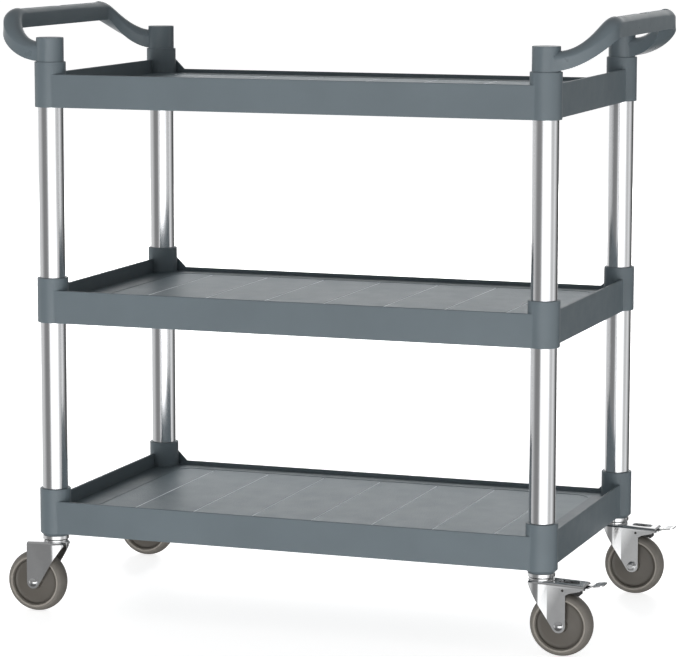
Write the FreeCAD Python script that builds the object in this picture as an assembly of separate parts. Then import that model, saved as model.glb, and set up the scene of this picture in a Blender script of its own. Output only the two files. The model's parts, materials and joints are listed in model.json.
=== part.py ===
import FreeCAD, Part
import math
import os

V = FreeCAD.Vector

# Food service trolley: three moulded shelves on aluminium posts, two moulded handles, four swivel casters.
# Millimetres. X runs along the trolley, Y across it, Z up. The origin is on the floor, under the centre.

# Frame
POST_X = 410.0                # half the distance between post axes, along the trolley
POST_Y = 225.0                # half the distance between post axes, across it
POST_R = 20.65                # post tube, outside
POST_WALL = 1.5
SLEEVE_R = 25.0               # moulded corner sleeve, outside
SLEEVE_BORE_R = 20.75
SLEEVE_RIM = 0.6              # bevel round a sleeve's ends
SLEEVE_FOOT = 4.2             # larger bevel round the bottom shelf's sleeves, above the casters
SLEEVE_LEDGE = 6.0            # thickness of the stop between a sleeve's two bores
LEDGE_HOLE_R = 12.0
SEAT_GAP = 0.5                # between a tube's end and the ledge that it stops at
SHELF_TOPS = {"bottom": 206.0, "middle": 550.1, "top": 896.0}    # height of each shelf's sleeve tops
SLEEVE_BOTTOMS = {"bottom": 129.4, "middle": 478.1, "top": 824.0}

# Shelf section, measured down from the sleeve tops
WALL_X = 12.8                 # end wall's outer face beyond the post axis
WALL_Y = 21.5                 # long wall's outer face beyond the post axis
WALL_T = 4.4
LIP_DROP = 19.2
REAR_LIP_DROP = 36.2          # the rear lip is lower, so that goods slide off that side
RAMP_START = 18.5             # where the rear lip starts to ramp down at 45 degrees, from the post axis
DECK_DROP = 42.5
DECK_T = 4.0
SKIRT_DROP = 72.0
CORNER_R = 8.0                # keeps the walls' corners inside the sleeves
LIP_FILLET = 1.5
PANEL_DEPTH = 0.6             # the textured panel lies this far below the smooth margin
PANEL_X = 372.0
PANEL_Y = 211.0
PANEL_R = 30.0
GROOVE_PITCH = 102.3
GROOVE_COUNT = 7
GROOVE_W = 2.6
GROOVE_DEPTH = 0.9
GROOVE_Y = 204.0
RIB_T = 2.6
RIB_H = 10.0
RIB_Y = (-82.0, 82.0)

# Handles, with U outward from the post axis
BOSS_R = 22.0
BOSS_H = 38.6
BOSS_RIM = 1.0
SPIGOT_R = 20.6
SPIGOT_L = 32.0
NECK_START_U = 3.0
NECK_STRAIGHT_U = 12.0
NECK_Z = 912.2
NECK_REACH = 50.0             # pull of the curve as it leaves the boss
GRIP_U = 87.5
GRIP_HALF = 168.0             # half the straight grip's length
GRIP_Z = 961.5
GRIP_PULL = 31.0              # pull of the curve as it meets the grip
# Half width and half height of the bar's section at the boss, halfway up the neck, and along the grip.
BAR_HALVES = ((16.3, 15.4), (15.3, 12.7), (12.8, 15.5))
ARCH = 9.1                    # rise of the section's arched top above its flat sides
NECK_STATIONS = 9
GRIP_SPANS = 16
PAD_DROP = 0.8                # the thumb pads are flats this far below the grip's crown
PAD_ENDS = (14.0, 158.0)      # where the pads start and end, from the grip's middle
DIP_DROP = 1.3                # the grip's middle dips this far between the pads
PAD_GROOVE_W = 1.6
PAD_GROOVE_DEPTH = 0.5
PAD_GROOVE_PITCH = 8.0

# Casters, in their own frame: x trails behind the stem, y points to the trolley's outside
WHEEL_R = 50.0
TRAIL = 33.0
TYRE_HALF_W = 16.0
CROWN_R = 26.0                # the tread's curve across the tyre
SHOULDER_R = 7.0              # the curve from the tread to the sidewall
BEAD_R = 0.9                  # round lip where the sidewall ends at the rim
CORE_R = 39.0
RIM_HALF = 14.0               # half widths of the core's rim, its web and its hub
WEB_HALF = 7.6
HUB_HALF = 17.4
HUB_R = 11.0
BUSH_R = 6.0
BUSH_BORE_R = 4.1
HUB_CLEARANCE = 0.06

# Axle bolt and nut
BOLT_R = 4.0
BOLT_END = 8.0                # length of bolt beyond the fork's inner leg
HEAD_R = 7.2
HEAD_FLANGE = 1.0
HEAD_RISE = 3.2
NUT_ACROSS = 13.0
NUT_T = 5.2
NUT_COLLAR_R = 5.6
NUT_COLLAR_T = 1.4

# Fork
FORK_HALF = 20.5              # outside of the fork's legs
FORK_T = 2.5
FORK_TOP = 118.0
FORK_SLOPE_X = 8.0            # behind here the fork's top plate falls towards its rear
FORK_SLOPE = 0.042
NOSE_R = 22.5                 # the front wraps round the bearing
STEP_X = (1.5, 14.8)          # the sides step in, from the nose to the flat legs, between these places
LEG_END_R = 10.5
LEG_REAR = TRAIL + LEG_END_R
LEG_ANGLE = math.radians(32.0)
BEND_R = 2.0
ARM_TOP_X = 71.0              # where a braked fork's arms end, along their top
# Lower outline of the arms, as (x, z), from their end to the leg.
ARM_UNDER = ((73.2, 111.6), (64.5, 106.2), (49.0, 102.4), (LEG_REAR, 99.0))
WINDOW_X = (30.0, 62.0)       # opening in a braked fork's top plate
WINDOW_HALF = 10.0
WINDOW_R = 5.0

# Swivel bearing and stem
DISH_R = 19.6
DISH_STEP = 0.8
DISH_TOP = 121.6
CAP_R = 21.4
CAP_SKIRT_R = 20.2
CAP_RIM = 1.2
CAP_BOTTOM = 123.0
CAP_PLATE_BOTTOM = 125.2
BALL_R = 2.4
BALL_CIRCLE_R = 14.0
BALL_Z = 123.4
BALL_COUNT = 14
BALL_CLEARANCE = 0.3
KINGPIN_R = 5.0
KINGPIN_HEAD_R = 9.0
KINGPIN_RIM = 1.5
SWIVEL_CLEARANCE = 0.08
STEM_R = 5.5
STEM_NECK = 1.0               # depth of the groove that the socket's lugs snap into
SOCKET_R = 20.7
SOCKET_L = 32.0
SOCKET_END_T = 3.0

# Brakes
PIVOT_X = 39.0
PIVOT_Z = 106.5
PIN_R = 2.0
PIN_RECESS = 1.0
PEDAL_ANGLE = 12.0            # degrees from free to locked
SHOE_GAP = 0.4                # left between the shoe and the tyre when locked
SHOE_X = (47.0, 63.0)
SHOE_HALF = 12.0
SHOE_BOTTOM = 90.0
PEDAL_HALF = 16.6
PEDAL_T = 2.0
PEDAL_UNDER = 107.4           # underside of the pedal's plate
PEDAL_BEND_X = 73.0           # where the plate bends up into the foot's tongue
BLADE_X = 84.0                # where the tongue flattens and widens into the blade
BLADE_Z = 113.2
PEDAL_TIP_X = 101.5
PEDAL_TIP_Z = 115.6
NECK_HALF = 9.5
BLADE_HALF = 14.5
BLADE_CORNER_R = 5.0
EAR_R = 4.3
EAR_T = 1.8
EAR_END = ((66.0, 108.0), (66.0, 105.6))    # where an ear's lower edge meets the plate
SLOT_X = (87.0, 96.0)         # two slots through the blade
SLOT_Y = 5.5
SLOT_HALF = 2.0
SPRING_WIRE_R = 0.6
SPRING_PITCH = 1.4
SPRING_L = 8.4
SPRING_GAP = 0.4

CORNERS = {"fl": (-1, -1), "fr": (1, -1), "bl": (-1, 1), "br": (1, 1)}


def save(node, shape):
    shape.exportStep("parts/" + node + ".step")


def box(x0, x1, y0, y1, z0, z1):
    return Part.makeBox(x1 - x0, y1 - y0, z1 - z0, V(x0, y0, z0))


def cylinder(r, z0, z1, x=0.0, y=0.0):
    return Part.makeCylinder(r, z1 - z0, V(x, y, z0))


def cross_cylinder(r, y0, y1, x, z):
    return Part.makeCylinder(r, y1 - y0, V(x, y0, z), V(0, 1, 0))


def side_prism(points, y0, y1):
    """A solid with the outline points, given as (x, z), between two depths."""
    loop = [V(x, y0, z) for x, z in points]
    face = Part.Face(Part.makePolygon(loop + loop[:1]))
    return face.extrude(V(0, y1 - y0, 0))


def revolve_z(points):
    loop = [V(r, 0, z) for r, z in points]
    face = Part.Face(Part.makePolygon(loop + loop[:1]))
    return face.revolve(V(0, 0, 0), V(0, 0, 1), 360)


def place(shape, corner):
    """Move a caster piece from its own frame to a corner of the trolley."""
    sx, sy = CORNERS[corner]
    if sx < 0:
        shape = shape.mirror(V(0, 0, 0), V(1, 0, 0))
    if sy < 0:
        shape = shape.mirror(V(0, 0, 0), V(0, 1, 0))
    return shape.translated(V(sx * POST_X, sy * POST_Y, 0))


# Shelves

def level_edges(shape, heights):
    """Edges whose every end is at one of the heights, so a ramp between two heights counts too."""
    chosen = []
    for edge in shape.Edges:
        if all(any(abs(v.Z - h) < 0.01 for h in heights) for v in edge.Vertexes):
            chosen.append(edge)
    return chosen


def upright_edges(shape):
    return [e for e in shape.Edges if e.BoundBox.XLength < 0.01 and e.BoundBox.YLength < 0.01]


def tray(top):
    """Walls, deck and skirt as one shell, open above and below the deck."""
    lip = top - LIP_DROP
    low = top - REAR_LIP_DROP
    deck = top - DECK_DROP
    ex = POST_X + WALL_X
    ey = POST_Y + WALL_Y
    body = box(-ex, ex, -ey, ey, top - SKIRT_DROP, lip)
    body = body.cut(box(-ex + WALL_T, ex - WALL_T, -ey + WALL_T, ey - WALL_T, deck, lip + 1))
    high_x = POST_X - RAMP_START
    low_x = high_x - (lip - low)
    notch = [(-high_x, lip), (-low_x, low), (low_x, low), (high_x, lip),
             (high_x, lip + 1), (-high_x, lip + 1)]
    body = body.cut(side_prism(notch, ey - WALL_T - 1, ey + 1))
    body = body.makeFillet(LIP_FILLET, level_edges(body, (lip, low)))
    bounds = box(-ex, ex, -ey, ey, top - SKIRT_DROP - 1, top)
    body = body.common(bounds.makeFillet(CORNER_R, upright_edges(bounds)))
    under = box(-ex + WALL_T, ex - WALL_T, -ey + WALL_T, ey - WALL_T, top - SKIRT_DROP - 1, deck - DECK_T)
    return body.cut(under)


def panel_and_grooves(top):
    """The shallow textured panel and its cross grooves, to be cut from the deck."""
    deck = top - DECK_DROP
    panel = box(-PANEL_X, PANEL_X, -PANEL_Y, PANEL_Y, deck - PANEL_DEPTH, deck + 1)
    tools = [panel.makeFillet(PANEL_R, upright_edges(panel))]
    floor = deck - PANEL_DEPTH
    half = GROOVE_W / 2
    for i in range(GROOVE_COUNT):
        x = (i - (GROOVE_COUNT - 1) / 2) * GROOVE_PITCH
        tools.append(side_prism([(x - half, floor), (x, floor - GROOVE_DEPTH), (x + half, floor)],
                                -GROOVE_Y, GROOVE_Y))
    return tools


def under_ribs(top):
    """Stiffening ribs below the deck, one under each groove and two along the shelf."""
    ceiling = top - DECK_DROP - DECK_T
    ex = POST_X + WALL_X - WALL_T / 2
    ey = POST_Y + WALL_Y - WALL_T / 2
    ribs = [box(-ex, ex, y - RIB_T / 2, y + RIB_T / 2, ceiling - RIB_H, ceiling) for y in RIB_Y]
    for i in range(GROOVE_COUNT):
        x = (i - (GROOVE_COUNT - 1) / 2) * GROOVE_PITCH
        ribs.append(box(x - RIB_T / 2, x + RIB_T / 2, -ey, ey, ceiling - RIB_H, ceiling))
    return ribs


def sleeve(bottom, top, chamfer):
    """A corner sleeve without its bores."""
    outline = [(0, bottom), (SLEEVE_R - chamfer, bottom), (SLEEVE_R, bottom + chamfer),
               (SLEEVE_R, top - SLEEVE_RIM), (SLEEVE_R - SLEEVE_RIM, top), (0, top)]
    return revolve_z(outline)


def ledge_range(level):
    """Lowest and highest point of the stop inside a shelf's sleeves."""
    middle = (SHELF_TOPS[level] + SLEEVE_BOTTOMS[level]) / 2
    return middle - SLEEVE_LEDGE / 2, middle + SLEEVE_LEDGE / 2


def shelf(level):
    top = SHELF_TOPS[level]
    bottom = SLEEVE_BOTTOMS[level]
    chamfer = SLEEVE_FOOT if level == "bottom" else SLEEVE_RIM
    ledge_low, ledge_high = ledge_range(level)
    body = tray(top).cut(panel_and_grooves(top))
    body = body.fuse(under_ribs(top))
    posts = [(sx * POST_X, sy * POST_Y) for sx, sy in CORNERS.values()]
    body = body.fuse([sleeve(bottom, top, chamfer).translated(V(x, y, 0)) for x, y in posts])
    bores = []
    for x, y in posts:
        bores.append(cylinder(SLEEVE_BORE_R, bottom - 1, ledge_low, x, y))
        bores.append(cylinder(SLEEVE_BORE_R, ledge_high, top + 1, x, y))
        bores.append(cylinder(LEDGE_HOLE_R, ledge_low - 1, ledge_high + 1, x, y))
    return body.cut(bores).removeSplitter()


# Posts

def post(lower, upper, sx, sy):
    z0 = ledge_range(lower)[1] + SEAT_GAP
    z1 = ledge_range(upper)[0] - SEAT_GAP
    x = sx * POST_X
    y = sy * POST_Y
    return cylinder(POST_R, z0, z1, x, y).cut(cylinder(POST_R - POST_WALL, z0 - 1, z1 + 1, x, y))


# Handles

def between(three, t):
    """The quadratic through three values, at t from 0 to 1."""
    first, middle, last = three
    return first * (1 - t) * (1 - 2 * t) + middle * 4 * t * (1 - t) + last * t * (2 * t - 1)


def section_wire(centre, tangent, half_w, half_h):
    """The bar's section: a flat base, two flat sides and an arched top."""
    up = V(0, 0, 1)
    up = up - tangent * up.dot(tangent)
    up.normalize()
    side = tangent.cross(up)

    def at(w, h):
        return centre + side * w + up * h
    spring = half_h - ARCH
    corners = [at(half_w, spring), at(half_w, -half_h), at(-half_w, -half_h), at(-half_w, spring)]
    arch = Part.Arc(corners[3], at(0, half_h), corners[0]).toShape()
    return Part.Wire([Part.makeLine(p, q) for p, q in zip(corners, corners[1:])] + [arch])


def neck_station(t):
    """Centre, tangent and section size at t, from the boss (0) to the grip (1), on the +Y side."""
    a = V(POST_X + NECK_STRAIGHT_U, POST_Y, NECK_Z)
    d = V(POST_X + GRIP_U, GRIP_HALF, GRIP_Z)
    b = a + V(NECK_REACH, 0, 0)
    c = d + V(0, GRIP_PULL, 0)
    u = 1 - t
    centre = a * u ** 3 + b * (3 * u * u * t) + c * (3 * u * t * t) + d * t ** 3
    tangent = (b - a) * (u * u) + (c - b) * (2 * u * t) + (d - c) * (t * t)
    tangent.normalize()
    widths, heights = zip(*BAR_HALVES)
    return centre, tangent, between(widths, t), between(heights, t)


def mirrored(station):
    """The same station on the -Y side, seen as the bar runs on towards that end."""
    centre, tangent, half_w, half_h = station
    return V(centre.x, -centre.y, centre.z), V(-tangent.x, tangent.y, -tangent.z), half_w, half_h


def handle_bar():
    """The bent bar from boss to boss, lofted through a neck, a straight grip and the other neck."""
    start = (V(POST_X + NECK_START_U, POST_Y, NECK_Z), V(1, 0, 0)) + BAR_HALVES[0]
    neck = [start] + [neck_station(i / (NECK_STATIONS - 1)) for i in range(NECK_STATIONS)]
    end, tangent, half_w, half_h = neck[-1]
    steps = [1 - 2 * i / GRIP_SPANS for i in range(1, GRIP_SPANS)]
    grip = [(V(end.x, GRIP_HALF * step, end.z), tangent, half_w, half_h) for step in steps]
    stations = neck + grip + [mirrored(station) for station in reversed(neck)]
    return Part.makeLoft([section_wire(*station) for station in stations], True, False)


def grip_tools():
    """What is cut from the grip's crown: two flat ribbed thumb pads and the dip between them."""
    half_w, half_h = BAR_HALVES[2]
    crown = GRIP_Z + half_h
    x = POST_X + GRIP_U
    start, end = PAD_ENDS
    half = PAD_GROOVE_W / 2
    groove_floor = crown - PAD_DROP - PAD_GROOVE_DEPTH
    count = int((end - start) / PAD_GROOVE_PITCH)
    pitch = (end - start) / count
    tools = [box(x - half_w, x + half_w, -start, start, crown - DIP_DROP, crown + 1)]
    for y0 in (start, -end):
        tools.append(box(x - half_w, x + half_w, y0, y0 + end - start, crown - PAD_DROP, crown + 1))
        for i in range(count):
            y = y0 + (i + 0.5) * pitch
            tools.append(box(x - half_w, x + half_w, y - half, y + half, groove_floor, crown + 1))
    return tools


def handle(side):
    top = SHELF_TOPS["top"]
    body = handle_bar().cut(grip_tools())
    for sy in (-1, 1):
        boss = cylinder(BOSS_R, top, top + BOSS_H, POST_X, sy * POST_Y)
        rim = [e for e in boss.Edges if all(v.Z > top + BOSS_H - 0.01 for v in e.Vertexes)]
        body = body.fuse(boss.makeFillet(BOSS_RIM, rim))
        body = body.fuse(cylinder(SPIGOT_R, top - SPIGOT_L, top, POST_X, sy * POST_Y))
    if side < 0:
        body = body.mirror(V(0, 0, 0), V(1, 0, 0))
    return body


# Casters

def fork_plan(inset, rear, z0, z1):
    """The fork seen from above, as a prism: a round nose, a short step in on each side, and flat legs."""
    r = NOSE_R - inset
    b = FORK_HALF - inset
    nose_x, flat_x = STEP_X
    half = math.sqrt(r ** 2 - nose_x ** 2)
    side = [V(nose_x, half, z0), V(flat_x, b, z0), V(rear, b, z0)]
    corners = side + [V(p.x, -p.y, z0) for p in reversed(side)]
    nose = Part.Arc(corners[-1], V(-r, 0, z0), corners[0]).toShape()
    wire = Part.Wire([Part.makeLine(p, q) for p, q in zip(corners, corners[1:])] + [nose])
    return Part.Face(wire).extrude(V(0, 0, z1 - z0))


def fork_top(x):
    return FORK_TOP - max(0.0, x - FORK_SLOPE_X) * FORK_SLOPE


def fork_side(brake):
    """The fork seen from the side, as a prism: top plate, legs and, with a brake, the rear arms."""
    sn = math.sin(LEG_ANGLE)
    cs = math.cos(LEG_ANGLE)
    tangent = V(TRAIL - LEG_END_R * cs, 0, WHEEL_R - LEG_END_R * sn)
    nose_x = tangent.x - (FORK_TOP - tangent.z) * math.tan(LEG_ANGLE)
    rear = ARM_TOP_X if brake else LEG_REAR
    points = [(tangent.x, tangent.z), (nose_x, FORK_TOP), (FORK_SLOPE_X, FORK_TOP), (rear, fork_top(rear))]
    if brake:
        points += ARM_UNDER
    points += [(LEG_REAR, WHEEL_R)]
    arc_from = V(LEG_REAR, 0, WHEEL_R)
    low_point = V(TRAIL, 0, WHEEL_R - LEG_END_R)
    arc = Part.Arc(arc_from, low_point, tangent).toShape()
    loop = [V(x, 0, z) for x, z in points]
    wire = Part.Wire(Part.makePolygon(loop).Edges + [arc])
    half = NOSE_R + 1
    return Part.Face(wire).extrude(V(0, 2 * half, 0)).translated(V(0, -half, 0))


def top_edges(shape, lowest):
    """Edges round the fork's top plate, from the nose to the rear, without the rear edge itself."""
    found = []
    for edge in shape.Edges:
        bounds = edge.BoundBox
        across_rear = bounds.XLength < 3 and bounds.YLength > FORK_HALF
        if bounds.ZMin > lowest and not across_rear and bounds.Center.x > -NOSE_R:
            found.append(edge)
    return found


def fork(brake):
    low = WHEEL_R - LEG_END_R - 2
    rear = ARM_UNDER[0][0] if brake else LEG_REAR
    outer = fork_plan(0, rear, low, FORK_TOP).common(fork_side(brake))
    outer = outer.makeFillet(BEND_R + FORK_T, top_edges(outer, fork_top(rear) - 0.6))
    past = rear + 9
    ceiling = [(-60.0, low - 1), (-60.0, FORK_TOP - FORK_T), (FORK_SLOPE_X, FORK_TOP - FORK_T),
               (past, fork_top(past) - FORK_T), (past, low - 1)]
    hollow = fork_plan(FORK_T, rear + 5, low - 1, FORK_TOP + 1).common(side_prism(ceiling, -30, 30))
    body = outer.cut(hollow)
    dish = revolve_z([(0, FORK_TOP - 1), (DISH_R + DISH_STEP, FORK_TOP - 1), (DISH_R + DISH_STEP, FORK_TOP),
                      (DISH_R, FORK_TOP + DISH_STEP), (DISH_R, DISH_TOP - DISH_STEP),
                      (DISH_R - DISH_STEP, DISH_TOP), (0, DISH_TOP)])
    body = body.fuse(dish)
    recess = cylinder(KINGPIN_HEAD_R + KINGPIN_RIM, FORK_TOP - FORK_T - 1, FORK_TOP + 1)
    pin_hole = cylinder(KINGPIN_R + SWIVEL_CLEARANCE, FORK_TOP - 2 * FORK_T, DISH_TOP + 1)
    race = Part.makeTorus(BALL_CIRCLE_R, BALL_R + BALL_CLEARANCE, V(0, 0, BALL_Z))
    bolt_hole = cross_cylinder(BOLT_R + 0.05, -FORK_HALF - 1, FORK_HALF + 1, TRAIL, WHEEL_R)
    body = body.cut([recess, pin_hole, race, bolt_hole])
    if brake:
        window = box(*WINDOW_X, -WINDOW_HALF, WINDOW_HALF, PIVOT_Z, FORK_TOP + 1)
        window = window.makeFillet(WINDOW_R, upright_edges(window))
        pivot_hole = cross_cylinder(PIN_R + 0.03, -FORK_HALF - 1, FORK_HALF + 1, PIVOT_X, PIVOT_Z)
        body = body.cut([window, pivot_hole])
    return body


def stem():
    """Fixed half of the swivel: upper race cap, kingpin with its riveted head, and the plug-in stem."""
    face = SLEEVE_BOTTOMS["bottom"]
    cap = revolve_z([(0, CAP_PLATE_BOTTOM), (CAP_SKIRT_R, CAP_PLATE_BOTTOM), (CAP_SKIRT_R, CAP_BOTTOM),
                     (CAP_R, CAP_BOTTOM), (CAP_R, face - CAP_RIM), (CAP_R - CAP_RIM, face), (0, face)])
    head_bottom = FORK_TOP - FORK_T + 0.2
    head_top = FORK_TOP + 0.7
    kingpin = revolve_z([(0, head_bottom), (KINGPIN_HEAD_R - KINGPIN_RIM, head_bottom),
                         (KINGPIN_HEAD_R, head_bottom + KINGPIN_RIM), (KINGPIN_HEAD_R, head_top),
                         (KINGPIN_R, head_top), (KINGPIN_R, CAP_PLATE_BOTTOM + 1), (0, CAP_PLATE_BOTTOM + 1)])
    end = face + SOCKET_L - SOCKET_END_T - 1
    neck_r = STEM_R - STEM_NECK
    shaft = revolve_z([(0, face - 1), (STEM_R, face - 1), (STEM_R, end - 5 * STEM_NECK),
                       (neck_r, end - 4 * STEM_NECK), (neck_r, end - 2 * STEM_NECK),
                       (STEM_R, end - STEM_NECK), (neck_r, end), (0, end)])
    race = Part.makeTorus(BALL_CIRCLE_R, BALL_R + BALL_CLEARANCE / 3, V(0, 0, BALL_Z))
    return cap.cut(race).fuse([kingpin, shaft])


def bearing_balls():
    balls = []
    for i in range(BALL_COUNT):
        a = 2 * math.pi * i / BALL_COUNT
        centre = V(BALL_CIRCLE_R * math.cos(a), BALL_CIRCLE_R * math.sin(a), BALL_Z)
        balls.append(Part.makeSphere(BALL_R, centre))
    return Part.makeCompound(balls)


def socket():
    """Plastic plug inside the bottom sleeve that grips the caster's stem."""
    z0 = SLEEVE_BOTTOMS["bottom"]
    plug = cylinder(SOCKET_R, z0, z0 + SOCKET_L)
    return plug.cut(cylinder(STEM_R + 0.05, z0 - 1, z0 + SOCKET_L - SOCKET_END_T))


def wheel_point(r, y):
    return V(TRAIL, y, WHEEL_R + r)


def wheel_revolve(edges):
    """Revolve a closed outline, drawn above the axle, about the wheel's axle."""
    return Part.Face(Part.Wire(edges)).revolve(V(TRAIL, 0, WHEEL_R), V(0, 1, 0), 360)


def wheel_core():
    """Hub, web and rim, recessed on both faces."""
    half = [(BUSH_R + HUB_CLEARANCE, HUB_HALF), (HUB_R, HUB_HALF), (HUB_R + 1, WEB_HALF + 2),
            (CORE_R - 5.5, WEB_HALF), (CORE_R - 2.4, WEB_HALF + 1.4), (CORE_R - 1.8, RIM_HALF - 0.4),
            (CORE_R, RIM_HALF)]
    outline = half + [(r, -y) for r, y in reversed(half)]
    loop = [wheel_point(r, y) for r, y in outline]
    return wheel_revolve(Part.makePolygon(loop + loop[:1]).Edges)


def tyre():
    """A crowned tread, round shoulders, flat sidewalls and a round bead against the rim."""
    # The shoulder's circle touches the tread's curve from inside, and the sidewall.
    shoulder_y = TYRE_HALF_W - SHOULDER_R
    crown = WHEEL_R - CROWN_R
    shoulder = crown + math.sqrt((CROWN_R - SHOULDER_R) ** 2 - shoulder_y ** 2)
    lean = math.atan2(shoulder_y, shoulder - crown)
    bead = CORE_R + BEAD_R
    side = TYRE_HALF_W - BEAD_R

    def half(sign):
        touch = wheel_point(crown + CROWN_R * math.cos(lean), sign * CROWN_R * math.sin(lean))
        middle = (math.pi / 2 + lean) / 2
        bulge = wheel_point(shoulder + SHOULDER_R * math.cos(middle),
                            sign * (shoulder_y + SHOULDER_R * math.sin(middle)))
        sidewall = wheel_point(shoulder, sign * TYRE_HALF_W)
        valley = wheel_point(bead + BEAD_R, sign * side)
        crest = wheel_point(bead, sign * TYRE_HALF_W)
        foot = wheel_point(CORE_R, sign * side)
        return [Part.Arc(touch, bulge, sidewall).toShape(), Part.makeLine(sidewall, valley),
                Part.Arc(valley, crest, foot).toShape(), touch, foot]
    right = half(1)
    left = half(-1)
    tread = Part.Arc(left[3], wheel_point(WHEEL_R, 0), right[3]).toShape()
    bore = Part.makeLine(right[4], left[4])
    return wheel_revolve([tread] + right[:3] + [bore] + left[2::-1])


def bush():
    """Steel tube clamped between the fork's legs, on which the hub runs."""
    inside = FORK_HALF - FORK_T
    tube = cross_cylinder(BUSH_R, -inside, inside, TRAIL, WHEEL_R)
    return tube.cut(cross_cylinder(BUSH_BORE_R, -inside - 1, inside + 1, TRAIL, WHEEL_R))


def axle_bolt():
    """Bolt with a domed head on the trolley's outside."""
    shank = cross_cylinder(BOLT_R, -FORK_HALF - BOLT_END, FORK_HALF, TRAIL, WHEEL_R)
    dome_y = FORK_HALF + HEAD_FLANGE
    flange = cross_cylinder(HEAD_R, FORK_HALF, dome_y, TRAIL, WHEEL_R)
    ball_r = (HEAD_R ** 2 + HEAD_RISE ** 2) / (2 * HEAD_RISE)
    dome = Part.makeSphere(ball_r, V(TRAIL, dome_y + HEAD_RISE - ball_r, WHEEL_R))
    dome = dome.common(cross_cylinder(HEAD_R + 1, dome_y, dome_y + HEAD_RISE + 1, TRAIL, WHEEL_R))
    return shank.fuse([flange, dome])


def axle_nut():
    """Hexagon lock nut with a collar, on the inside end of the bolt."""
    y0 = -FORK_HALF - NUT_T
    r = NUT_ACROSS / 2 / math.cos(math.pi / 6)
    turns = [math.pi * i / 3 for i in range(7)]
    loop = [V(TRAIL + r * math.cos(a), y0, WHEEL_R + r * math.sin(a)) for a in turns]
    nut = Part.Face(Part.makePolygon(loop)).extrude(V(0, NUT_T, 0))
    nut = nut.fuse(cross_cylinder(NUT_COLLAR_R, y0 - NUT_COLLAR_T, y0, TRAIL, WHEEL_R))
    return nut.cut(cross_cylinder(BOLT_R, y0 - 2 * NUT_COLLAR_T, 1 - FORK_HALF, TRAIL, WHEEL_R))


# Brakes

def pedal():
    """Stamped lever: two ears round the pin, a plate under the arms, and a tongue for the foot."""
    line = [(PIVOT_X, PEDAL_UNDER), (PEDAL_BEND_X, PEDAL_UNDER),
            (BLADE_X, BLADE_Z), (PEDAL_TIP_X, PEDAL_TIP_Z)]
    top = [(x, z + PEDAL_T) for x, z in reversed(line)]
    strip = side_prism(line + top, -PEDAL_HALF, PEDAL_HALF)
    low = SHOE_BOTTOM
    high = FORK_TOP + 10
    plate = box(PIVOT_X - 10, PEDAL_BEND_X, -PEDAL_HALF, PEDAL_HALF, low, high)
    neck = box(PEDAL_BEND_X - 1, BLADE_X + 1, -NECK_HALF, NECK_HALF, low, high)
    blade = box(BLADE_X, PEDAL_TIP_X, -BLADE_HALF, BLADE_HALF, low, high)
    plan = plate.fuse([neck, blade.makeFillet(BLADE_CORNER_R, upright_edges(blade))])
    strip = strip.common(plan)
    pieces = []
    for y0 in (-PEDAL_HALF, PEDAL_HALF - EAR_T):
        pieces.append(cross_cylinder(EAR_R, y0, y0 + EAR_T, PIVOT_X, PIVOT_Z))
        cheek = [(PIVOT_X, PIVOT_Z - EAR_R), (PIVOT_X, PIVOT_Z + 1)] + list(EAR_END)
        pieces.append(side_prism(cheek, y0, y0 + EAR_T))
    body = strip.fuse(pieces)
    between_ears = PEDAL_HALF - EAR_T
    gap = box(PIVOT_X - 10, PIVOT_X + 6, -between_ears, between_ears, low, high)
    hole = cross_cylinder(PIN_R + 0.05, -FORK_HALF, FORK_HALF, PIVOT_X, PIVOT_Z)
    slots = [box(*SLOT_X, y - SLOT_HALF, y + SLOT_HALF, low, high) for y in (-SLOT_Y, SLOT_Y)]
    rounded = [slot.makeFillet(0.95 * SLOT_HALF, upright_edges(slot)) for slot in slots]
    return body.cut([gap, hole] + rounded)


def pedal_pin():
    end = FORK_HALF - PIN_RECESS
    return cross_cylinder(PIN_R, -end, end, PIVOT_X, PIVOT_Z)


def brake_shoe():
    """Block under the pedal whose lower face fits the tyre when the pedal is pressed."""
    block = box(*SHOE_X, -SHOE_HALF, SHOE_HALF, SHOE_BOTTOM, PEDAL_UNDER)
    wheel = cross_cylinder(WHEEL_R + SHOE_GAP, -FORK_HALF, FORK_HALF, TRAIL, WHEEL_R)
    wheel.rotate(V(PIVOT_X, 0, PIVOT_Z), V(0, 1, 0), -PEDAL_ANGLE)
    return block.cut(wheel)


def brake_spring():
    """Torsion spring wound round the pin, which lifts the pedal."""
    coil_r = PIN_R + SPRING_GAP + SPRING_WIRE_R
    helix = Part.makeHelix(SPRING_PITCH, SPRING_L, coil_r)
    profile = Part.Wire(Part.makeCircle(SPRING_WIRE_R, V(coil_r, 0, 0), V(0, 1, 0)))
    coil = Part.Wire(helix.Edges).makePipeShell([profile], True, True)
    coil.rotate(V(0, 0, 0), V(1, 0, 0), -90)
    return coil.translated(V(PIVOT_X, -SPRING_L / 2, PIVOT_Z))


def build_frame():
    for level in SHELF_TOPS:
        save("shelf_" + level, shelf(level))
    for corner, (sx, sy) in CORNERS.items():
        save("post_lower_" + corner, post("bottom", "middle", sx, sy))
        save("post_upper_" + corner, post("middle", "top", sx, sy))
    save("handle_left", handle(-1))
    save("handle_right", handle(1))


def build_caster(corner):
    brake = CORNERS[corner][0] > 0
    pieces = {"stem": stem(), "stem_socket": socket(), "bearing_balls": bearing_balls(), "fork": fork(brake),
              "wheel_core": wheel_core(), "tyre": tyre(), "wheel_bush": bush(), "axle_bolt": axle_bolt(),
              "axle_nut": axle_nut()}
    if brake:
        pieces.update({"brake_pedal": pedal(), "brake_pin": pedal_pin(), "brake_shoe": brake_shoe(),
                       "brake_spring": brake_spring()})
    for name, shape in pieces.items():
        save(name + "_" + corner, place(shape, corner))


os.makedirs("parts", exist_ok=True)
build_frame()
for corner_name in CORNERS:
    build_caster(corner_name)
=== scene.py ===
import json
import math

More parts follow.
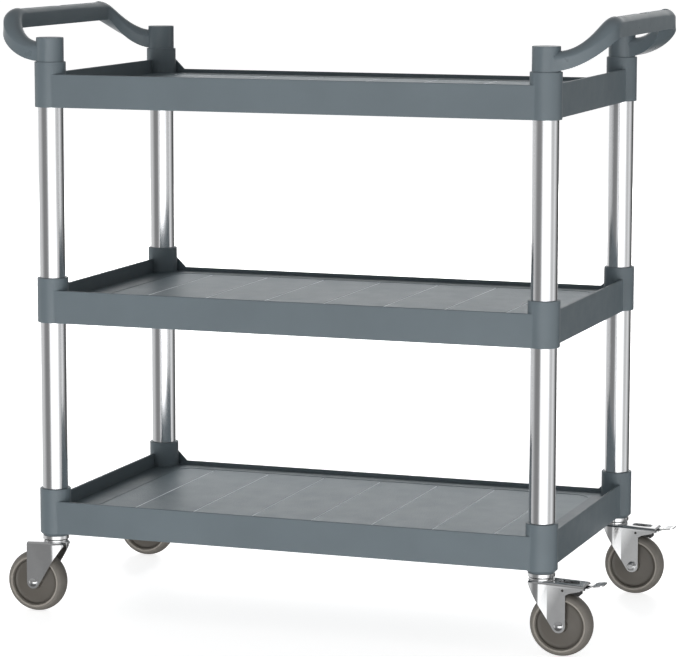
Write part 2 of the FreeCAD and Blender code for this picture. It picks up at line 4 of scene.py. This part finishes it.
import bpy
from mathutils import Euler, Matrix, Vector


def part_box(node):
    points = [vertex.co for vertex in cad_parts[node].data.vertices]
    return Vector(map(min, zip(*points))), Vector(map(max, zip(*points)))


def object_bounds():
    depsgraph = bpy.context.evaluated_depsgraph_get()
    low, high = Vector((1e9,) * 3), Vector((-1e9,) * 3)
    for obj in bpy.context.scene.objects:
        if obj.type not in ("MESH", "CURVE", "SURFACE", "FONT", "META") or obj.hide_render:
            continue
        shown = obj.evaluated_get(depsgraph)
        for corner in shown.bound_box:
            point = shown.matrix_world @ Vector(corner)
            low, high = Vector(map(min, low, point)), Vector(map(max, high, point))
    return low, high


# Food service trolley: three moulded shelves on aluminium posts, two moulded handles, four swivel casters.
# Metres, in the frame of the CAD model: X along the trolley, Y across it, Z up, origin on the floor.

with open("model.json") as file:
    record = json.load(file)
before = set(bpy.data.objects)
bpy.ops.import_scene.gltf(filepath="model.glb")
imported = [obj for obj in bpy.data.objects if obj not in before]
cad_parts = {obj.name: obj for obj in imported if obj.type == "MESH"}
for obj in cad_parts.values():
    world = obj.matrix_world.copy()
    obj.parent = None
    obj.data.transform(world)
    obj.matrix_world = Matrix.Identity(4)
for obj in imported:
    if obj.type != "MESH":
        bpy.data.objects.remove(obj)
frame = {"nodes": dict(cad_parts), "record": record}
cad_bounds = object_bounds()

# Camera
CAMERA_AT = Vector((1.668, -4.636, 1.162))
CAMERA_AZIMUTH = 19.92        # degrees round the object from its long front side
CAMERA_ELEVATION = 7.89
LENS = 161.3
SHIFT = (0.0094, -0.0207)

# Studio
FLOOR_SIZE = 60.0
WORLD_PEAK = 2.2              # the brightest band
# The studio's walls below the horizon, as (degrees to the right of the camera's side, brightness).
LOW_BANDS = (
    (-180, 1.20), (-158, 1.10), (-132, 0.72), (-100, 0.66), (-86, 0.44), (-72, 0.25), (-48, 0.25),
    (-35, 0.34), (-25, 1.25), (-14, 1.60), (10, 2.20), (36, 1.60), (46, 1.00), (56, 0.60), (66, 0.62),
    (86, 0.90), (98, 0.62), (112, 0.24), (128, 0.07), (146, 0.07), (160, 1.10), (180, 1.20),
)
# The same above the horizon: dim all round, but for a bright backdrop behind the trolley.
HIGH_BANDS = (
    (-180, 1.25), (-152, 1.15), (-138, 0.34), (-90, 0.30), (-20, 0.20), (40, 0.14), (90, 0.12),
    (140, 0.16), (152, 1.15), (180, 1.25),
)
CEILING = 0.34
NADIR = 0.12
CEILING_FADE = (0.30, 0.60)   # the heights, as the sine of the elevation, where the bands give way to it
NADIR_FADE = (-0.65, -0.25)
HORIZON_FADE = (-0.01, 0.06)
# Lamps that light the matt side of surfaces and don't show in their gloss, as
# (degrees right of the camera's side, degrees above level, watts).
FILLS = ((-22, -6, 225.0), (64, -6, 82.0), (-110, -9, 100.0), (176, 18, 430.0))
FILL_DISTANCE = 7.0
FILL_SIZE = 4.0
FLOOR_GLOW = 0.74             # the floor's own light, which keeps it nearly white

# Places on the CAD model
GRIP_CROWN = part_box("handle_right")[1].z
PAD_ENDS = (0.014, 0.158)     # the pads' ends, from the grip's middle
PAD_RIB = 0.0022              # from one fine rib on a pad to the next
PANEL_HALF = (0.371, 0.210)   # half the length and width of a deck's textured panel
WHEEL_LOW, WHEEL_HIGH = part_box("tyre_fr")
WHEEL_X = (WHEEL_LOW.x + WHEEL_HIGH.x) / 2
WHEEL_Z = (WHEEL_LOW.z + WHEEL_HIGH.z) / 2
BEAD_OUTER = 0.0412           # outer radius of the tyre's bead

# Finishes
SLATE = (104, 115, 121)       # sRGB, the shelves' and handles' plastic
GROOVE_HIGHLIGHT = (234, 241, 245)      # sRGB, near white painted highlight on the sloping sides of the grooves across the decks
TYRE = (118, 114, 108)        # sRGB
PANEL_PAINTED_LIGHT = 1.42             # how much paler the deck panel's up-facing faces are painted than the walls: painted light from above
PAD_HIGHLIGHT = 1.45               # how much paler the handles' pad tops are painted: a painted highlight
BEAD_HIGHLIGHT = 2.0               # how much paler the tyres' beads are painted: a painted highlight
EDGE_WEAR = 0.0012            # width of the paler wear along edges
BEVEL_WIDTH = 0.0006
BEVEL_FROM = 34               # degrees: edges sharper than this get rounded
HANDLE_BEVEL_FROM = 45        # leaves the handles' soft ridges alone
WELD_WITHIN = 0.000005
FLAT_AREA = 0.00012           # square metres: mesh faces this large are flats, not parts of a curve
FLAT_ANGLE = math.radians(4.5)    # edges between flats sharper than this stay crisp


# Node helpers

class Tree:
    """A material's or world's node tree, with short ways to add what the materials here share."""

    def __init__(self, tree):
        self.tree = tree
        self.tree.nodes.clear()

    def add(self, kind, **settings):
        node = self.tree.nodes.new(kind)
        for name, value in settings.items():
            setattr(node, name, value)
        return node

    def link(self, output, socket):
        self.tree.links.new(output, socket)

    def math(self, operation, a, b=None):
        node = self.add("ShaderNodeMath", operation=operation)
        for i, value in enumerate((a, b)):
            if value is None:
                continue
            if isinstance(value, (int, float)):
                node.inputs[i].default_value = value
            else:
                self.link(value, node.inputs[i])
        return node.outputs[0]

    def ramp(self, factor, stops):
        """Colours or greys at places from 0 to 1."""
        node = self.add("ShaderNodeValToRGB")
        ramp = node.color_ramp
        while len(ramp.elements) < len(stops):
            ramp.elements.new(0.5)
        for element, (place, colour) in zip(ramp.elements, stops):
            element.position = place
        for element, (place, colour) in zip(ramp.elements, stops):
            value = (colour,) * 3 if isinstance(colour, (int, float)) else tuple(colour)
            element.color = value + (1.0,)
        self.link(factor, node.inputs["Fac"])
        return node.outputs["Color"]

    def mottled(self, factor, colour, dark, light):
        """The colour, varied from dark to light times itself as the factor goes from 0.3 to 0.7."""
        return self.ramp(factor, [(0.3, tone(colour, dark)), (0.7, tone(colour, light))])

    def axes(self, vector):
        """A vector's X, Y and Z, by name."""
        node = self.add("ShaderNodeSeparateXYZ")
        self.link(vector, node.inputs[0])
        return node.outputs

    def upward(self):
        """The Z part of the surface's normal: 1 on level faces, 0 on upright ones."""
        return self.axes(self.add("ShaderNodeNewGeometry").outputs["Normal"])["Z"]

    def scaled(self, vector, scale):
        node = self.add("ShaderNodeMapping")
        node.inputs["Scale"].default_value = scale
        self.link(vector, node.inputs["Vector"])
        return node.outputs["Vector"]

    def noise(self, vector, scale, detail=3.0, roughness=0.5):
        node = self.add("ShaderNodeTexNoise")
        node.inputs["Scale"].default_value = scale
        node.inputs["Detail"].default_value = detail
        node.inputs["Roughness"].default_value = roughness
        self.link(vector, node.inputs["Vector"])
        return node.outputs["Fac"]

    def cells(self, vector, scale):
        node = self.add("ShaderNodeTexVoronoi", feature="SMOOTH_F1")
        node.inputs["Scale"].default_value = scale
        self.link(vector, node.inputs["Vector"])
        return node.outputs["Distance"]

    def mix(self, factor, a, b):
        node = self.add("ShaderNodeMix", data_type="RGBA")
        self.fill(factor, node.inputs["Factor"])
        self.fill(a, node.inputs["A"])
        self.fill(b, node.inputs["B"])
        return node.outputs["Result"]

    def fill(self, value, socket):
        """Link an output, or set a constant."""
        if isinstance(value, bpy.types.NodeSocket):
            self.link(value, socket)
        elif isinstance(value, tuple) and len(value) == 3 and socket.type == "RGBA":
            socket.default_value = value + (1.0,)
        else:
            socket.default_value = value

    def remap(self, value, low, high, out_low, out_high):
        node = self.add("ShaderNodeMapRange")
        self.link(value, node.inputs["Value"])
        limits = {"From Min": low, "From Max": high, "To Min": out_low, "To Max": out_high}
        for name, number in limits.items():
            node.inputs[name].default_value = number
        return node.outputs["Result"]

    def bump(self, height, distance, under=None):
        """A bump of the given depth in metres, on top of another one if there is one."""
        node = self.add("ShaderNodeBump")
        node.inputs["Strength"].default_value = 1.0
        node.inputs["Distance"].default_value = distance
        self.link(height, node.inputs["Height"])
        if under is not None:
            self.link(under, node.inputs["Normal"])
        return node.outputs["Normal"]

    def edges(self, radius):
        """About 1 along edges as wide as radius, 0 on flat and gently curved faces."""
        bevel = self.add("ShaderNodeBevel", samples=6)
        bevel.inputs["Radius"].default_value = radius
        geometry = self.add("ShaderNodeNewGeometry")
        dot = self.add("ShaderNodeVectorMath", operation="DOT_PRODUCT")
        self.link(bevel.outputs["Normal"], dot.inputs[0])
        self.link(geometry.outputs["Normal"], dot.inputs[1])
        return self.remap(dot.outputs["Value"], 1.0, 0.9, 0.0, 1.0)

    def wear(self, place, base, colour, low, high):
        """The base, paler along its edges by a patchy amount from low to high."""
        patches = self.remap(self.noise(place, 60.0), 0.35, 0.65, low, high)
        worn = self.math("MULTIPLY", self.edges(EDGE_WEAR), patches)
        return self.mix(worn, base, tone(colour, 1.5))


def linear(r, g, b):
    """An sRGB colour, 0 to 255, as linear light."""
    return tuple(c / 255 / 12.92 if c <= 10 else ((c / 255 + 0.055) / 1.055) ** 2.4 for c in (r, g, b))


def tone(colour, times):
    """The colour, that many times as light."""
    return tuple(c * times for c in colour)


def material(name):
    """A new material, its tree, its Principled shader and the object's own coordinates."""
    made = bpy.data.materials.new(name)
    made.use_nodes = True
    tree = Tree(made.node_tree)
    shader = tree.add("ShaderNodeBsdfPrincipled")
    out = tree.add("ShaderNodeOutputMaterial")
    tree.link(shader.outputs["BSDF"], out.inputs["Surface"])
    place = tree.add("ShaderNodeTexCoord").outputs["Object"]
    return made, tree, shader, place


# Materials

def moulded_plastic(name, colour, grain, grain_depth, roughness):
    """Grained polypropylene: a fine pebble, faint mottling and slightly polished, paler edges."""
    made, tree, shader, place = material(name)
    base = tree.mottled(tree.noise(place, 9.0, 4.0, 0.6), colour, 0.93, 1.07)
    specks = tree.remap(tree.noise(place, 1400.0, 1.0), 0.62, 0.74, 0.0, 0.22)
    base = tree.mix(specks, base, tone(colour, 1.35))
    base = tree.wear(place, base, colour, 0.15, 0.6)
    tree.link(base, shader.inputs["Base Color"])
    gloss = tree.noise(place, 26.0, 5.0, 0.6)
    rough = tree.remap(gloss, 0.3, 0.7, roughness - 0.05, roughness + 0.06)
    tree.link(rough, shader.inputs["Roughness"])
    ripple = tree.bump(tree.noise(place, 7.0, 2.0), 0.0008)
    pebble = tree.bump(tree.cells(place, grain), grain_depth, ripple)
    tree.link(pebble, shader.inputs["Normal"])
    return made


def handle_plastic():
    """The shelves' plastic, a little glossier, with ribbed pads along the grips' tops whose up-facing
    faces are painted paler as a painted highlight.
    """
    colour = linear(*SLATE)
    made, tree, shader, place = material("handle_plastic")
    base = tree.mottled(tree.noise(place, 9.0, 4.0, 0.6), colour, 0.94, 1.06)
    axes = tree.axes(place)
    facing_up = tree.remap(tree.upward(), 0.90, 0.97, 0.0, 1.0)
    along = tree.math("ABSOLUTE", axes["Y"])
    from_inner = tree.remap(along, PAD_ENDS[0] - 0.001, PAD_ENDS[0], 0.0, 1.0)
    to_outer = tree.remap(along, PAD_ENDS[1], PAD_ENDS[1] + 0.001, 1.0, 0.0)
    on_pad = tree.math("MULTIPLY", from_inner, to_outer)
    crown = tree.remap(axes["Z"], GRIP_CROWN - 0.003, GRIP_CROWN - 0.002, 0.0, 1.0)
    pad = tree.math("MULTIPLY", facing_up, tree.math("MULTIPLY", on_pad, crown))
    # Painted highlight: the up-facing tops of the pads are painted paler; the ribs are a real bump.
    base = tree.mix(pad, base, tone(colour, PAD_HIGHLIGHT))
    base = tree.wear(place, base, colour, 0.10, 0.5)
    tree.link(base, shader.inputs["Base Color"])
    rough = tree.remap(tree.noise(place, 26.0, 5.0, 0.6), 0.3, 0.7, 0.27, 0.36)
    tree.link(rough, shader.inputs["Roughness"])
    ripple = tree.bump(tree.noise(place, 7.0, 2.0), 0.0006)
    fine = tree.bump(tree.cells(place, 950.0), 0.00004, ripple)
    wave = tree.math("SINE", tree.math("MULTIPLY", axes["X"], 2 * math.pi / PAD_RIB))
    ribs = tree.bump(tree.math("MULTIPLY", wave, pad), 0.00015, fine)
    tree.link(ribs, shader.inputs["Normal"])
    return made


def shelf_plastic():
    """Slate grey polypropylene, with a pebbled panel whose up-facing faces are painted paler as painted
    light from above, near white painted highlights on the grooves' slopes, and scuffs on each deck.
    """
    colour = linear(*SLATE)
    made, tree, shader, place = material("shelf_plastic")
    base = tree.mottled(tree.noise(place, 7.0, 4.0, 0.6), colour, 0.94, 1.06)
    axes = tree.axes(place)
    upward = tree.upward()
    facing_up = tree.remap(upward, 0.60, 0.75, 0.0, 1.0)
    across = tree.math("ABSOLUTE", axes["X"])
    deep = tree.math("ABSOLUTE", axes["Y"])
    inside_x = tree.remap(across, PANEL_HALF[0], PANEL_HALF[0] + 0.002, 1.0, 0.0)
    inside_y = tree.remap(deep, PANEL_HALF[1], PANEL_HALF[1] + 0.002, 1.0, 0.0)
    panel = tree.math("MULTIPLY", facing_up, tree.math("MULTIPLY", inside_x, inside_y))
    # Painted light: the panel's up-facing faces are painted paler, standing in for light falling from
    # above.
    base = tree.mix(panel, base, tone(colour, PANEL_PAINTED_LIGHT))
    # Painted highlight: the grooves' sloping sides are painted near white, standing in for the light they
    # catch.
    groove_highlight = tree.math("MULTIPLY", panel, tree.remap(upward, 0.86, 0.93, 1.0, 0.0))
    base = tree.mix(groove_highlight, base, linear(*GROOVE_HIGHLIGHT))
    scuffs = tree.noise(tree.scaled(place, (3.0, 90.0, 1.0)), 3.0, 6.0, 0.7)
    scuffs = tree.math("MULTIPLY", tree.remap(scuffs, 0.60, 0.72, 0.0, 0.20), facing_up)
    base = tree.mix(scuffs, base, tone(colour, 1.5))
    base = tree.wear(place, base, colour, 0.15, 0.6)
    tree.link(base, shader.inputs["Base Color"])
    rough = tree.remap(tree.noise(place, 26.0, 5.0, 0.6), 0.3, 0.7, 0.38, 0.48)
    tree.link(rough, shader.inputs["Roughness"])
    fine = tree.bump(tree.cells(place, 900.0), 0.00006)
    pebbles = tree.math("MULTIPLY", tree.cells(place, 420.0), panel)
    coarse = tree.bump(pebbles, 0.00045, fine)
    tree.link(coarse, shader.inputs["Normal"])
    return made


def metal(name, colour, rough, streak_scale, depth, cloud_scale, stretch=(1.0, 1.0, 1.0)):
    """Bare or plated metal: streaks, cloudy tone and slightly uneven gloss, between two roughnesses."""
    made, tree, shader, place = material(name)
    shader.inputs["Metallic"].default_value = 1.0
    streaks = tree.noise(tree.scaled(place, stretch), streak_scale, 4.0, 0.65)
    clouds = tree.noise(place, cloud_scale, 4.0, 0.6)
    base = tree.mottled(clouds, colour, 0.96, 1.0)
    base = tree.mix(tree.remap(streaks, 0.35, 0.65, 0.0, 0.08), base, tone(colour, 0.75))
    tree.link(base, shader.inputs["Base Color"])
    blend = tree.math("ADD", tree.math("MULTIPLY", streaks, 0.5), tree.math("MULTIPLY", clouds, 0.5))
    tree.link(tree.remap(blend, 0.35, 0.65, rough[0], rough[1]), shader.inputs["Roughness"])
    tree.link(tree.bump(streaks, depth), shader.inputs["Normal"])
    return made


def tyre_rubber():
    """Grey thermoplastic rubber: matt, fine grain, a dusty bloom, and a painted highlight on the bead
    against the rim.
    """
    colour = linear(*TYRE)
    made, tree, shader, place = material("tyre_rubber")
    bloom = tree.noise(place, 34.0, 5.0, 0.65)
    base = tree.mottled(bloom, colour, 0.86, 1.12)
    axes = tree.axes(place)
    across = tree.math("SUBTRACT", tree.math("ABSOLUTE", axes["X"]), WHEEL_X)
    above = tree.math("SUBTRACT", axes["Z"], WHEEL_Z)
    squares = tree.math("ADD", tree.math("POWER", across, 2.0), tree.math("POWER", above, 2.0))
    radius = tree.math("SQRT", squares)
    # Painted highlight: the bead's ring is painted paler, standing in for the light it catches.
    bead_highlight = tree.remap(radius, BEAD_OUTER, BEAD_OUTER + 0.0006, 1.0, 0.0)
    base = tree.mix(bead_highlight, base, tone(colour, BEAD_HIGHLIGHT))
    base = tree.mix(tree.math("MULTIPLY", tree.edges(EDGE_WEAR), 0.3), base, tone(colour, 1.6))
    tree.link(base, shader.inputs["Base Color"])
    tree.link(tree.remap(bloom, 0.3, 0.7, 0.5, 0.64), shader.inputs["Roughness"])
    tree.link(tree.bump(tree.noise(place, 1500.0, 3.0, 0.6), 0.0003), shader.inputs["Normal"])
    return made


def make_materials():
    """Every finish, by the name of its slot in the record, and the brake pins' own, black_steel."""
    drawn = (1.0, 1.0, 0.01)      # stretches the streaks along Z
    post = metal("post_aluminium", linear(232, 233, 235), (0.12, 0.18), 1800.0, 0.000004, 14.0, drawn)
    plated = metal("plated_steel", linear(230, 231, 232), (0.12, 0.17), 420.0, 0.000004, 60.0)
    bearing = metal("bearing_steel", linear(205, 206, 208), (0.10, 0.18), 300.0, 0.00001, 50.0)
    black = metal("black_steel", linear(92, 90, 88), (0.35, 0.5), 420.0, 0.00001, 60.0)
    return {
        "shelf_plastic": shelf_plastic(),
        "handle_plastic": handle_plastic(),
        "post_aluminium": post,
        "plated_steel": plated,
        "bearing_steel": bearing,
        "black_steel": black,
        "socket_plastic": moulded_plastic("socket_plastic", linear(40, 42, 44), 900.0, 0.00005, 0.45),
        "brake_plastic": moulded_plastic("brake_plastic", linear(38, 38, 38), 900.0, 0.00006, 0.5),
        "wheel_core": moulded_plastic("wheel_core", linear(93, 89, 83), 700.0, 0.00008, 0.42),
        "tyre_rubber": tyre_rubber(),
    }


def crisp_flats():
    """Node group that marks the edges between two large flats as sharp, however slight their angle."""
    group = bpy.data.node_groups.new("crisp_flats", "GeometryNodeTree")
    group.interface.new_socket("Geometry", in_out="INPUT", socket_type="NodeSocketGeometry")
    group.interface.new_socket("Geometry", in_out="OUTPUT", socket_type="NodeSocketGeometry")
    nodes, links = group.nodes, group.links
    start = nodes.new("NodeGroupInput")
    end = nodes.new("NodeGroupOutput")
    angle = nodes.new("GeometryNodeInputMeshEdgeAngle")
    area = nodes.new("GeometryNodeInputMeshFaceArea")
    on_edge = nodes.new("GeometryNodeFieldOnDomain")
    on_edge.domain = "EDGE"
    links.new(area.outputs["Area"], on_edge.inputs["Value"])
    steep = nodes.new("ShaderNodeMath")
    steep.operation = "GREATER_THAN"
    steep.inputs[1].default_value = FLAT_ANGLE
    links.new(angle.outputs["Unsigned Angle"], steep.inputs[0])
    large = nodes.new("ShaderNodeMath")
    large.operation = "GREATER_THAN"
    large.inputs[1].default_value = FLAT_AREA
    links.new(on_edge.outputs["Value"], large.inputs[0])
    both = nodes.new("ShaderNodeMath")
    both.operation = "MULTIPLY"
    links.new(steep.outputs[0], both.inputs[0])
    links.new(large.outputs[0], both.inputs[1])
    sharpen = nodes.new("GeometryNodeSetShadeSmooth")
    sharpen.domain = "EDGE"
    sharpen.inputs["Shade Smooth"].default_value = False
    links.new(start.outputs[0], sharpen.inputs["Geometry"])
    links.new(both.outputs[0], sharpen.inputs["Selection"])
    links.new(sharpen.outputs[0], end.inputs[0])
    return group


def dress(node, finish, flats, bevel_from):
    """Give a CAD node its material, smooth shading and softly rounded edges. Flats keep faces crisp."""
    mesh = node.data
    mesh.materials.clear()
    mesh.materials.append(finish)
    if "custom_normal" in mesh.attributes:
        mesh.attributes.remove(mesh.attributes["custom_normal"])
    mesh.shade_smooth()
    weld = node.modifiers.new("weld", "WELD")
    weld.merge_threshold = WELD_WITHIN
    if flats is not None:
        node.modifiers.new("flats", "NODES").node_group = flats
    bevel = node.modifiers.new("bevel", "BEVEL")
    bevel.width = BEVEL_WIDTH
    bevel.segments = 2
    bevel.limit_method = "ANGLE"
    bevel.angle_limit = math.radians(bevel_from)
    bevel.use_clamp_overlap = True
    bevel.miter_outer = "MITER_ARC"
    bevel.harden_normals = False
    weighted = node.modifiers.new("normals", "WEIGHTED_NORMAL")
    weighted.keep_sharp = True
    weighted.weight = 80


# Studio

def bands(tree, place, stops):
    """The bands' brightness, as a share of the brightest, at a place from 0 to 1 round the studio."""
    return tree.ramp(place, [((a + 180) / 360, min(1.0, b / WORLD_PEAK)) for a, b in stops])


def studio_sky():
    """White where the camera sees it, and soft bright and dark bands for everything else."""
    world = bpy.data.worlds.new("studio")
    bpy.context.scene.world = world
    world.use_nodes = True
    tree = Tree(world.node_tree)
    out = tree.add("ShaderNodeOutputWorld")
    direction = tree.add("ShaderNodeTexCoord").outputs["Generated"]
    turn = tree.add("ShaderNodeVectorRotate", rotation_type="Z_AXIS")
    turn.inputs["Angle"].default_value = math.radians(-CAMERA_AZIMUTH)
    tree.link(direction, turn.inputs["Vector"])
    axes = tree.axes(turn.outputs["Vector"])
    behind = tree.math("MULTIPLY", axes["Y"], -1.0)
    angle = tree.math("ARCTAN2", axes["X"], behind)
    place = tree.remap(angle, -math.pi, math.pi, 0.0, 1.0)
    height = axes["Z"]
    downward = tree.remap(height, *NADIR_FADE, 1.0, 0.0)
    low = tree.mix(downward, bands(tree, place, LOW_BANDS), (NADIR / WORLD_PEAK,) * 3)
    upward = tree.remap(height, *CEILING_FADE, 0.0, 1.0)
    high = tree.mix(upward, bands(tree, place, HIGH_BANDS), (CEILING / WORLD_PEAK,) * 3)
    banded = tree.add("ShaderNodeBackground")
    tree.link(tree.mix(tree.remap(height, *HORIZON_FADE, 0.0, 1.0), low, high), banded.inputs["Color"])
    banded.inputs["Strength"].default_value = WORLD_PEAK
    white = tree.add("ShaderNodeBackground")
    white.inputs["Color"].default_value = (1.0, 1.0, 1.0, 1.0)
    path = tree.add("ShaderNodeLightPath")
    choose = tree.add("ShaderNodeMixShader")
    tree.link(path.outputs["Is Camera Ray"], choose.inputs[0])
    tree.link(banded.outputs[0], choose.inputs[1])
    tree.link(white.outputs[0], choose.inputs[2])
    tree.link(choose.outputs[0], out.inputs["Surface"])


def fill_lamps():
    """Large round lamps, aimed at the trolley's middle, that don't show in reflections."""
    middle = (cad_bounds[0] + cad_bounds[1]) / 2
    for i, (turned, raised, power) in enumerate(FILLS):
        around = math.radians(turned + CAMERA_AZIMUTH - 90)
        up = math.radians(raised)
        away = Vector((math.cos(around) * math.cos(up), math.sin(around) * math.cos(up), math.sin(up)))
        lamp = bpy.data.lights.new("fill_%d" % i, "AREA")
        lamp.shape = "DISK"
        lamp.size = FILL_SIZE
        lamp.energy = power
        fill = bpy.data.objects.new("fill_%d" % i, lamp)
        fill.location = middle + away * FILL_DISTANCE
        fill.rotation_euler = away.to_track_quat("Z", "Y").to_euler()
        fill.visible_glossy = False
        fill.visible_camera = False
        bpy.context.scene.collection.objects.link(fill)


def studio_floor():
    """A pale floor that only the camera sees: the light from below is the world's."""
    half = FLOOR_SIZE / 2
    corners = [(-half, -half, 0), (half, -half, 0), (half, half, 0), (-half, half, 0)]
    mesh = bpy.data.meshes.new("floor")
    mesh.from_pydata(corners, [], [(0, 1, 2, 3)])
    floor = bpy.data.objects.new("floor", mesh)
    bpy.context.scene.collection.objects.link(floor)
    made, tree, shader, place = material("pale_floor")
    tree.link(tree.ramp(tree.noise(place, 3.0), [(0.3, 0.90), (0.7, 0.93)]), shader.inputs["Base Color"])
    shader.inputs["Roughness"].default_value = 0.9
    shader.inputs["Specular IOR Level"].default_value = 0.0
    shader.inputs["Emission Color"].default_value = (1.0, 1.0, 1.0, 1.0)
    shader.inputs["Emission Strength"].default_value = FLOOR_GLOW
    mesh.materials.append(made)
    floor.visible_glossy = False
    floor.visible_diffuse = False
    floor.visible_transmission = False
    floor.visible_shadow = False


def studio_camera():
    """A long lens in front of the trolley, a little to its right and above it, looking slightly down."""
    data = bpy.data.cameras.new("camera")
    data.lens = LENS
    data.shift_x, data.shift_y = SHIFT
    camera = bpy.data.objects.new("camera", data)
    bpy.context.scene.collection.objects.link(camera)
    camera.location = CAMERA_AT
    pitch = math.radians(90 - CAMERA_ELEVATION)
    camera.rotation_euler = Euler((pitch, 0, math.radians(CAMERA_AZIMUTH)))
    bpy.context.scene.camera = camera


def node_slots():
    """Each CAD node's material slot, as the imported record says."""
    return {part["node"]: part["material_slot"] for part in frame["record"]["subparts"]}


bpy.context.scene.view_settings.view_transform = "Standard"
studio_sky()
fill_lamps()
studio_floor()
studio_camera()

finishes = make_materials()
slots = node_slots()
flats = crisp_flats()
for name, node in frame["nodes"].items():
    finish = "black_steel" if name.startswith("brake_pin") else slots[name]
    bevel_from = HANDLE_BEVEL_FROM if name.startswith("handle") else BEVEL_FROM
    dress(node, finishes[finish], flats if name.startswith("fork") else None, bevel_from)
